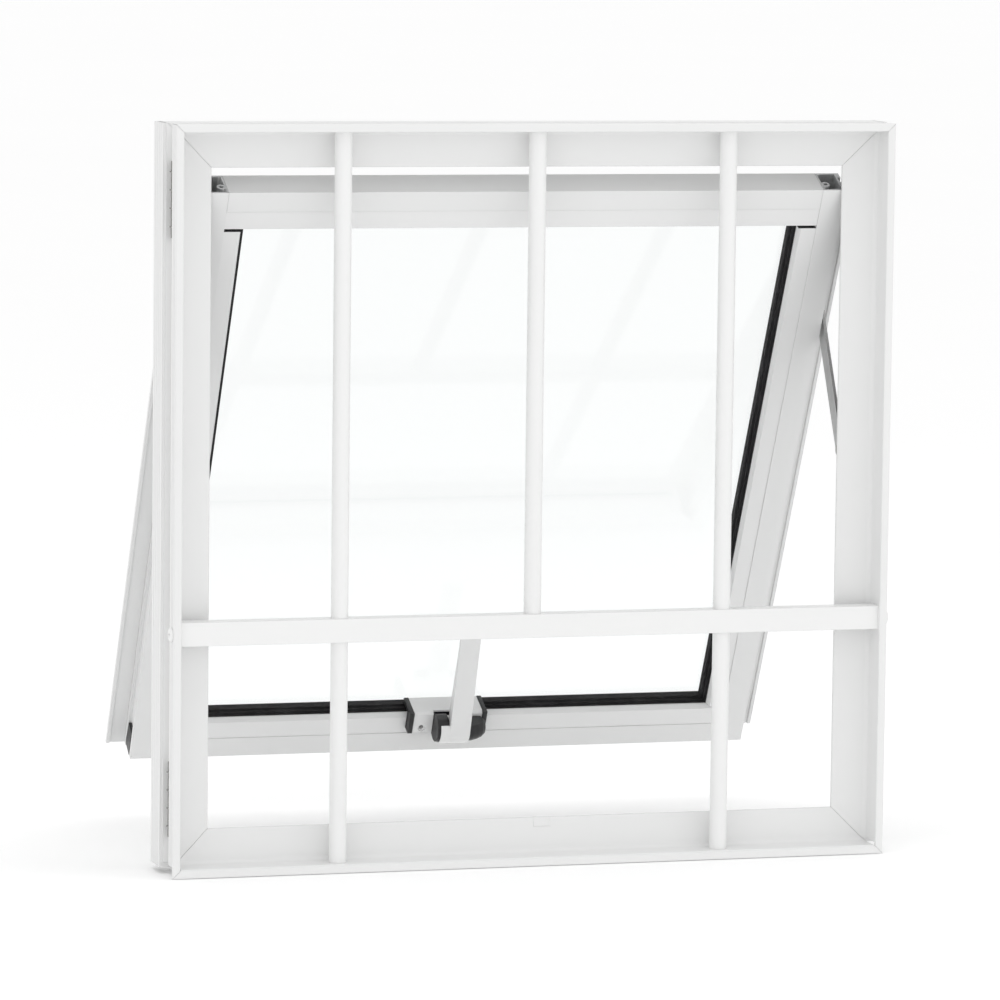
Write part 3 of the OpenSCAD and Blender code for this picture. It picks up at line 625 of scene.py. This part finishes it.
# ---------------------------------------------------------------- latch lever
lever_pivot = pivots["lever_turn"]
lever_low, lever_high = [Vector(c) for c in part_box("latch_lever")]
LEVER_OUTER = 13.3 * MM
LEVER_INNER = 10.3 * MM
LEVER_RIGHT = lever_high.x - lever_pivot.x
LEVER_LEFT = -LEVER_RIGHT
LEVER_EAR = lever_low.x - lever_pivot.x
LEVER_LENGTH = 104 * MM
LEVER_LEAN = LEVER_LENGTH * 0.13
HUB_RADIUS = 11.8 * MM
PIVOT_OUT = 14 * MM
CAP_LOW, CAP_TOP = -8.9 * MM, 11.3 * MM
CAP_STEP = 7.25 * MM
CAP_FRONT = PIVOT_OUT - 8.9 * MM
CAP_SEAT = PIVOT_OUT + 0.55 * MM
CAP_BACK = PIVOT_OUT + 15.4 * MM
SMALL_HEAD, SMALL_SHANK = 3.2 * MM, 1.9 * MM


def curl(item, test, degrees):
    """Turns the chosen end face round the pivot line, as the strap is rolled on its former."""
    pick(item)
    keep_faces(item, test)
    bpy.ops.mesh.spin(
        steps=max(4, int(abs(degrees) / 5)), angle=math.radians(-degrees), center=(0, 0, 0),
        axis=(1, 0, 0),
    )
    bpy.ops.object.mode_set(mode="OBJECT")
    tidy_shell(item)


def lever_strap():
    """Flat strap that rolls under its barrel and leans towards the glass."""
    strap = block(
        "lever_strap", (LEVER_LEFT, -LEVER_OUTER, 0),
        (LEVER_RIGHT, -LEVER_INNER, LEVER_LENGTH - 1 * MM)
    )
    keep_faces(strap, lambda centre, normal: normal.z > 0.9)
    bpy.ops.transform.translate(value=(0, LEVER_LEAN, 0))
    bpy.ops.mesh.extrude_region_move(TRANSFORM_OT_translate={"value": (0, 0, 0.8 * MM)})
    bpy.ops.transform.resize(value=(0.95, 0.5, 1))
    bpy.ops.object.mode_set(mode="OBJECT")
    curl(strap, lambda centre, normal: normal.z < -0.9, 149)
    round_edges(strap, 0.5 * MM, segments=3, angle=35)
    return strap


def lever_ear():
    """Wider curl that wraps the hub's knuckle on the left of the strap."""
    inner = HUB_RADIUS + 0.35 * MM
    ear = block(
        "lever_ear", (LEVER_EAR, -LEVER_OUTER, -0.4 * MM), (LEVER_LEFT + 0.5 * MM, -inner, 0)
    )
    curl(ear, lambda centre, normal: normal.z < -0.9, 109)
    curl(ear, lambda centre, normal: normal.z > 0.9 and centre.z > -0.1 * MM, -41)
    round_edges(ear, 0.25 * MM, segments=2, angle=35)
    return ear


def lever_cheek(side):
    """Stiffening web behind the strap: deep at the barrel and fading out towards the tip."""
    left = LEVER_LEFT + 0.1 * MM if side < 0 else LEVER_RIGHT - 2.1 * MM
    rise = LEVER_LENGTH * 0.78
    web = block(
        "lever_cheek", (left, -LEVER_INNER - 0.1 * MM, 3 * MM), (left + 2 * MM, -1.8 * MM, rise)
    )
    keep_faces(web, lambda centre, normal: normal.z > 0.9)
    bpy.ops.transform.resize(value=(1, 0.06, 1))
    bpy.ops.transform.translate(value=(0, LEVER_LEAN * 0.78 - 4.1 * MM, 0))
    bpy.ops.object.mode_set(mode="OBJECT")
    round_edges(web, 0.25 * MM, segments=2, angle=35)
    return web


def latch_lever():
    barrel = rod("lever_barrel", (LEVER_LEFT + 0.1 * MM, 0, 0), (LEVER_RIGHT - 0.1 * MM, 0, 0),
                 LEVER_INNER - 0.05 * MM, 64)
    cut_away(barrel, rod("bore", (-0.05, 0, 0), (0.05, 0, 0), 3.06 * MM, 40))
    round_edges(barrel, 0.3 * MM, segments=2, angle=40)
    lever = weld("lever", lever_strap(), lever_ear(), lever_cheek(-1), lever_cheek(1), barrel)
    settle(lever, lever_pivot, sash_angle)
    wear(lever, "latch_coat")
    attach(lever, "latch_lever")
    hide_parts("latch_lever")


# ---------------------------------------------------------------- bracket's end caps and screws
def bracket_cap(name):
    """Moulded cap on one end of the bracket, with softened edges and a shallow panel outside."""
    cap_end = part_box("latch_end_caps")[1][0]
    bracket_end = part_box("latch_bracket")[1][0]
    past = 10 * MM
    cap = block(name, (bracket_end, CAP_FRONT, CAP_LOW), (cap_end, CAP_BACK, CAP_TOP))
    notch = block("notch", (bracket_end - past, CAP_SEAT, CAP_LOW - past),
                  (cap_end + past, CAP_BACK + past, CAP_STEP))
    cut_away(cap, notch)
    keep_faces(cap, lambda centre, normal: normal.x > 0.9)
    bpy.ops.mesh.inset(thickness=1.6 * MM, depth=0)
    bpy.ops.mesh.inset(thickness=0.25 * MM, depth=-0.3 * MM)
    bpy.ops.object.mode_set(mode="OBJECT")
    round_edges(cap, 0.5 * MM, segments=3, angle=35)
    settle(cap, (0, lever_pivot.y, lever_pivot.z), sash_angle)
    return cap


def latch_caps():
    right = bracket_cap("bracket_cap_right")
    left = copy_across(right, "bracket_cap_left")
    for cap in (left, right):
        wear(cap, "black_plastic")
        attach(cap, "sash")
    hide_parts("latch_end_caps")


def cross_screw(name, head_radius, head_height, shank_radius, length, sides=36):
    """Pan-head screw along +X from its head, with a raised rim, a crown and a cross recess."""
    crown = head_height * 0.35
    screw = rod(name, (crown, 0, 0), (head_height, 0, 0), head_radius, sides)
    keep_faces(screw, lambda centre, normal: normal.x < -0.9)
    bpy.ops.mesh.inset(thickness=head_radius * 0.12, depth=0)
    bpy.ops.transform.translate(value=(-crown * 0.7, 0, 0))
    bpy.ops.mesh.inset(thickness=head_radius * 0.25, depth=0)
    bpy.ops.transform.translate(value=(-crown * 0.3, 0, 0))
    bpy.ops.object.mode_set(mode="OBJECT")
    keep_faces(screw, lambda centre, normal: normal.x > 0.9)
    bpy.ops.mesh.inset(thickness=head_radius - shank_radius, depth=0)
    bpy.ops.mesh.extrude_region_move(
        TRANSFORM_OT_translate={"value": (length - head_height, 0, 0)}
    )
    bpy.ops.object.mode_set(mode="OBJECT")
    arm, half = head_radius * 0.5, head_radius * 0.12
    deep = head_height * 0.7
    cut_away(screw, block("slot_a", (-0.001, -arm, -half), (deep, arm, half)))
    cut_away(screw, block("slot_b", (-0.001, -half, -arm), (deep, half, arm)))
    round_edges(screw, head_radius * 0.03, segments=2, angle=32)
    return screw


def place_copy(item, name, place):
    pick(item)
    bpy.ops.object.duplicate()
    twin = named(name)
    settle(twin, place)
    return twin


def bracket_screw():
    screw = cross_screw("bracket_screw", SMALL_HEAD, 0.9 * MM, SMALL_SHANK, 13.0 * MM)
    pick(screw)
    screw.rotation_euler = (0, 0, math.radians(90))
    bpy.ops.object.transform_apply(location=True, rotation=True, scale=True)
    low, high = [Vector(c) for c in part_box("latch_screw")]
    settle(screw, (0, 0, 0), sash_angle)
    settle(screw, ((low.x + high.x) / 2, low.y + SMALL_HEAD * math.sin(sash_angle),
                   high.z - SMALL_HEAD * math.cos(sash_angle)))
    wear(screw, "dark_steel")
    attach(screw, "sash")
    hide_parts("latch_screw")


def screw_row(node, slot, body, pattern, places):
    """Copies one screw to every place on the right side and mirrors each to the left side."""
    for number, place in enumerate(places):
        right = place_copy(pattern, "%s_right_%d" % (node, number + 1), place)
        left = copy_across(right, "%s_left_%d" % (node, number + 1))
        for screw in (right, left):
            wear(screw, slot)
            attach(screw, body)
        if number == 0:
            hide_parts(node)
    bpy.data.objects.remove(pattern, do_unlink=True)


def stay_and_grille_screws():
    link_high = Vector(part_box("stay_link_screws")[1])
    pattern = cross_screw("link_screw", SMALL_HEAD, 1.4 * MM, SMALL_SHANK, 9.8 * MM)
    pattern.rotation_euler = (0, 0, math.pi)
    pick(pattern)
    bpy.ops.object.transform_apply(location=True, rotation=True, scale=True)
    top, foot = pivots["shoe_right"], pivots["sash_tilt"]
    places = [
        (link_high.x, *(top + (foot - top) * share)[1:]) for share in (0.18, 0.5, 0.82)
    ]
    screw_row("stay_link_screws", "stay_steel", "sash", pattern, places)

    track_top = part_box("stay_track_right")[1][2]
    heads_low, heads_high = [Vector(c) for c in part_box("track_screws")]
    pattern = cross_screw("track_screw", SMALL_HEAD, 0.95 * MM, SMALL_SHANK, 8.4 * MM)
    middle = (pivots["arm_swing_right"].z + track_top - 2 * MM) / 2
    inner = heads_high.x - 8.5 * MM
    line = (heads_low.y + heads_high.y) / 2
    places = [
        (inner, line, z) for z in (heads_low.z + SMALL_HEAD, middle, heads_high.z - SMALL_HEAD)
    ]
    screw_row("track_screws", "stay_steel", "frame", pattern, places)

    bolt_low, bolt_high = [Vector(c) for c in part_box("crossbar_screws")]
    pattern = cross_screw("crossbar_screw", 5.6 * MM, 2.2 * MM, 2.4 * MM, 26.7 * MM, 48)
    pattern.rotation_euler = (0, 0, math.pi)
    pick(pattern)
    bpy.ops.object.transform_apply(location=True, rotation=True, scale=True)
    places = [(bolt_high.x, (bolt_low.y + bolt_high.y) / 2, (bolt_low.z + bolt_high.z) / 2)]
    screw_row("crossbar_screws", "grille_coat", "frame", pattern, places)


latch_lever()
latch_caps()
bracket_screw()
stay_and_grille_screws()


# ---------------------------------------------------------------- light, floor and view
def studio():
    bpy.ops.object.select_all(action="DESELECT")
    bpy.ops.mesh.primitive_plane_add(size=80, location=(0, 2.0, frame_foot - 0.0005))
    floor = named("studio_floor")
    pale = Finish("pale_floor", Roughness=0.9)
    pale.shader.inputs["Specular IOR Level"].default_value = 0.1
    pale.shader.inputs["Emission Color"].default_value = (1.0, 1.0, 1.0, 1.0)
    pale.shader.inputs["Emission Strength"].default_value = 0.12
    mottle = pale.effect("peel", Grain=60.0, Drift=0.8)
    pale.wire("Base Color", pale.tint(mottle["Tone"], grey(0.93), grey(0.945)))
    floor.data.materials.append(pale.material)

    world = bpy.data.worlds.new("studio_air")
    bpy.context.scene.world = world
    world.use_nodes = True
    air = world.node_tree.nodes["Background"]
    air.inputs["Color"].default_value = (1.0, 1.0, 1.0, 1.0)
    seen = add(world.node_tree, "LightPath")
    level = add(world.node_tree, "MapRange", inputs={"To Min": 0.92, "To Max": 1.0})
    world.node_tree.links.new(seen.outputs["Is Camera Ray"], level.inputs["Value"])
    world.node_tree.links.new(level.outputs[0], air.inputs["Strength"])

    def soft_box(name, place, aim, size, power):
        lamp = bpy.data.lights.new(name, "AREA")
        lamp.shape = "RECTANGLE"
        lamp.size, lamp.size_y = size
        lamp.energy = power
        item = bpy.data.objects.new(name, lamp)
        bpy.context.scene.collection.objects.link(item)
        item.location = place
        item.rotation_euler = (Vector(aim) - Vector(place)).to_track_quat("-Z", "Y").to_euler()

    soft_box("left_soft_box", (-2.6, -2.2, 1.9), (0, 0, 0.3), (1.6, 1.6), 4)
    soft_box("top_soft_box", (0.2, -0.6, 2.8), (0, 0.1, 0.3), (2.2, 1.6), 10)
    soft_box("right_soft_box", (2.8, -1.6, 1.2), (0, 0, 0.3), (1.2, 1.6), 3)


def viewpoint():
    """Long-lens view from the left and a little above, with the verticals kept upright."""
    turn, rise, roll = math.radians(16.5), math.radians(6.55), math.radians(0.674)
    back = Vector((-math.sin(turn) * math.cos(rise), -math.cos(turn) * math.cos(rise),
                   math.sin(rise)))
    right = Vector((math.cos(turn), -math.sin(turn), 0.0))
    up = back.cross(right)
    right, up = (
        math.cos(roll) * right + math.sin(roll) * up,
        -math.sin(roll) * right + math.cos(roll) * up,
    )
    centre = Vector((-0.01633, -0.0074, 0.2445))
    lens = bpy.data.cameras.new("long_lens")
    camera = bpy.data.objects.new("long_lens", lens)
    bpy.context.scene.collection.objects.link(camera)
    bpy.context.scene.camera = camera
    camera.matrix_world = Matrix((
        (right.x, up.x, back.x, 0),
        (right.y, up.y, back.y, 0),
        (right.z, up.z, back.z, 0),
        (0, 0, 0, 1),
    ))
    camera.location = centre + back * 4.9492
    lens.sensor_width = 36.0
    lens.lens = 219.86
    lens.shift_x = -0.0039
    lens.shift_y = 0.0550
    lens.clip_start, lens.clip_end = 0.5, 60.0


studio()
viewpoint()
bpy.context.scene.view_settings.view_transform = "Standard"
